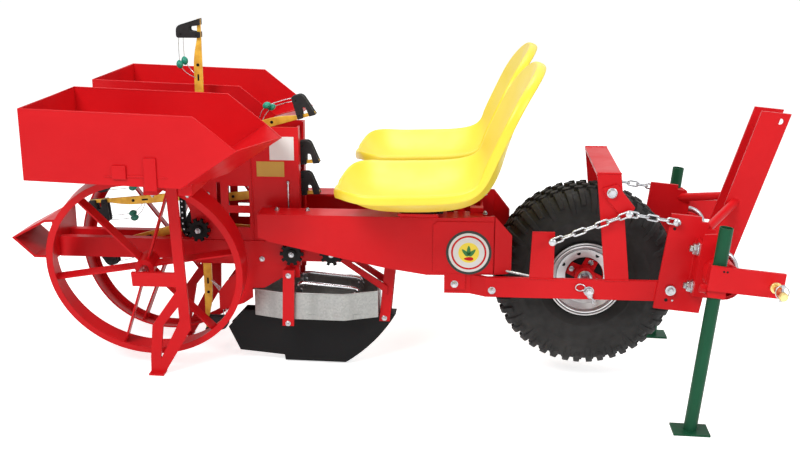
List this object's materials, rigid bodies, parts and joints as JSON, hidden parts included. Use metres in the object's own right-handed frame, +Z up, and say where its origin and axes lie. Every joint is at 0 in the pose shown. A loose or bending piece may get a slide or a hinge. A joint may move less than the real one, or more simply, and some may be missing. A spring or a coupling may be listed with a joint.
{
  "type": "bare root transplanter",
  "caption": "Bare root transplanter for a three-point tractor hitch: front gauge wheel, seats that face the plant boxes, a gripper chain, an opener shoe and cambered press wheels.",
  "frame": {"origin": "middle of the whole machine's plan box, on the floor under it", "axes": "+X forward to the tractor, +Y to the machine's left, +Z up"},
  "size_m": [2.5116, 1.082, 1.1582],
  "materials": {
    "red_paint": "painted",
    "green_paint": "painted",
    "black_paint": "painted",
    "zinc": "plated",
    "galvanised": "satin",
    "rim_silver": "painted",
    "gold_plated": "plated",
    "tyre_rubber": "matte",
    "jaw_rubber": "matte",
    "yellow_plastic": "satin"
  },
  "bodies": {
    "frame": {"front_axle": "zinc", "beam_sides": "red_paint", "rails": "red_paint", "bulkheads": "red_paint", "arms": "red_paint", "wheel_arch": "red_paint", "clamp_plates": "red_paint", "toolbar": "red_paint", "float_bolts": "zinc", "mast_bars": "red_paint", "mast_braces": "red_paint", "hitch_arms": "red_paint", "hitch_pins": "zinc", "stand_sleeves": "red_paint", "u_bolts": "zinc", "lift_chains": "zinc", "gripper_chain": "black_paint", "chain_sprockets": "black_paint", "gripper_arms": "gold_plated", "gripper_jaws": "jaw_rubber", "side_frames": "red_paint", "plant_box_right": "red_paint", "plant_box_left": "red_paint", "box_supports": "red_paint", "press_axles": "zinc", "rear_legs": "red_paint", "rear_guard": "red_paint", "opener_shoe": "black_paint", "opener_trough": "galvanised", "shoe_hangers": "red_paint", "shoe_front_bars": "red_paint", "opener_cheeks": "red_paint", "drive_sprockets": "black_paint", "seat_right": "yellow_plastic", "seat_left": "yellow_plastic", "seat_mounts": "red_paint"},
    "front_wheel": {"front_tyre": "tyre_rubber", "front_rim": "rim_silver", "front_hub": "red_paint"},
    "press_wheel_right": {"press_rim_right": "red_paint", "press_hub_right": "red_paint"},
    "press_wheel_left": {"press_rim_left": "red_paint", "press_hub_left": "red_paint"},
    "stand_right": {"stand_right": "green_paint"},
    "stand_left": {"stand_left": "green_paint"}
  },
  "joints": [
    {"name": "front_wheel_spin", "type": "hinge", "parent": "frame", "child": "front_wheel", "pos_m": [0.65109, 0, 0.36491], "axis": [0, 1, 0], "continuous": true},
    {"name": "press_wheel_right_spin", "type": "hinge", "parent": "frame", "child": "press_wheel_right", "pos_m": [-0.77452, -0.168, 0.37557], "axis": [0.0047, -0.9781, -0.2079], "continuous": true},
    {"name": "press_wheel_left_spin", "type": "hinge", "parent": "frame", "child": "press_wheel_left", "pos_m": [-0.77452, 0.168, 0.37557], "axis": [0.0047, 0.9781, -0.2079], "continuous": true},
    {"name": "stand_right_raise", "type": "slide", "parent": "frame", "child": "stand_right", "axis": [0.0732, 0, 0.9973], "range_m": [0, 0.3]},
    {"name": "stand_left_raise", "type": "slide", "parent": "frame", "child": "stand_left", "axis": [0.0732, 0, 0.9973], "range_m": [0, 0.3]}
  ]
}
